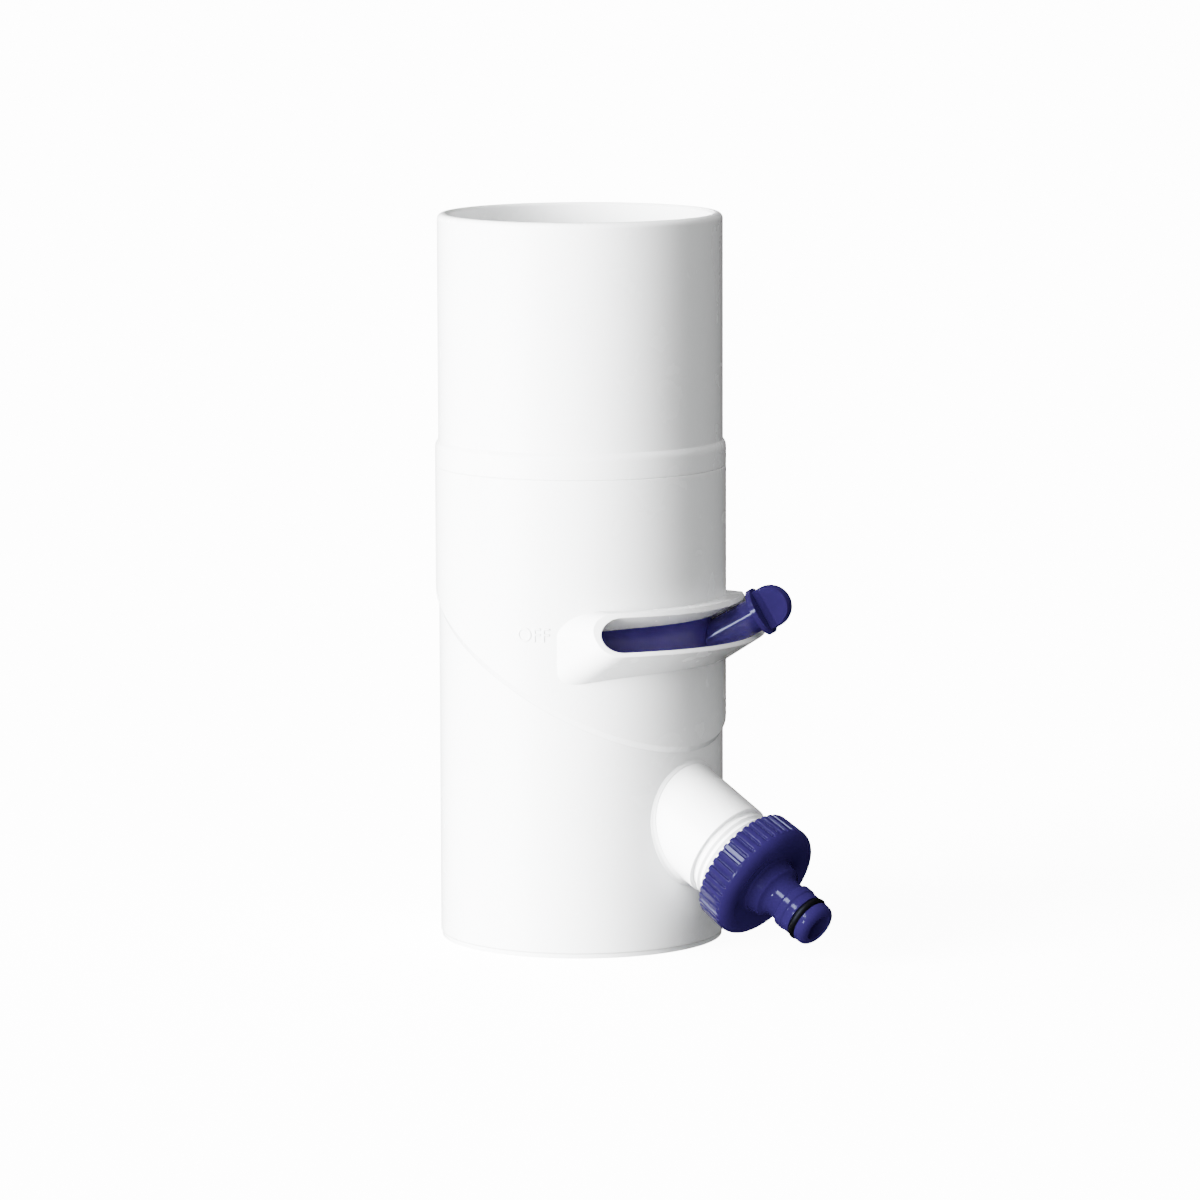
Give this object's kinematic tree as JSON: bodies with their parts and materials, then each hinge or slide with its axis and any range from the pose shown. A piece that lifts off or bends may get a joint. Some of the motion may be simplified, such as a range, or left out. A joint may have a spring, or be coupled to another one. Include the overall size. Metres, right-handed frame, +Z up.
{
  "type": "rainwater diverter",
  "caption": "Round downpipe diverter with a hooded lever that turns an inner gutter to send rainwater to a click-on hose outlet",
  "frame": {"origin": "on the pipe axis, on the bottom rim", "axes": "+Z up along the pipe axis, -Y towards the hose outlet, +X to the right of the outlet seen from the front"},
  "size_m": [0.0996, 0.1554, 0.2489],
  "materials": {
    "white_plastic": "glossy moulded white",
    "blue_plastic": "glossy moulded dark blue",
    "seal_rubber": "matt black",
    "screw_steel": "plain steel"
  },
  "bodies": {
    "housing": {"outlet_body": "white_plastic", "main_body": "white_plastic", "inlet_collar": "white_plastic", "port_seal": "seal_rubber", "hose_adaptor": "blue_plastic", "adaptor_washer": "seal_rubber", "nozzle_seal": "seal_rubber"},
    "turner": {"rotor": "blue_plastic", "upper_seal": "seal_rubber", "lower_seal": "seal_rubber", "lever": "blue_plastic", "lever_screw": "screw_steel", "knob": "blue_plastic"}
  },
  "joints": [
    {"name": "diverter_turn", "type": "hinge", "parent": "housing", "child": "turner", "pos_m": [0, 0, 0.0875], "axis": [0, 0, 1], "range_deg": [-59, 14]}
  ]
}
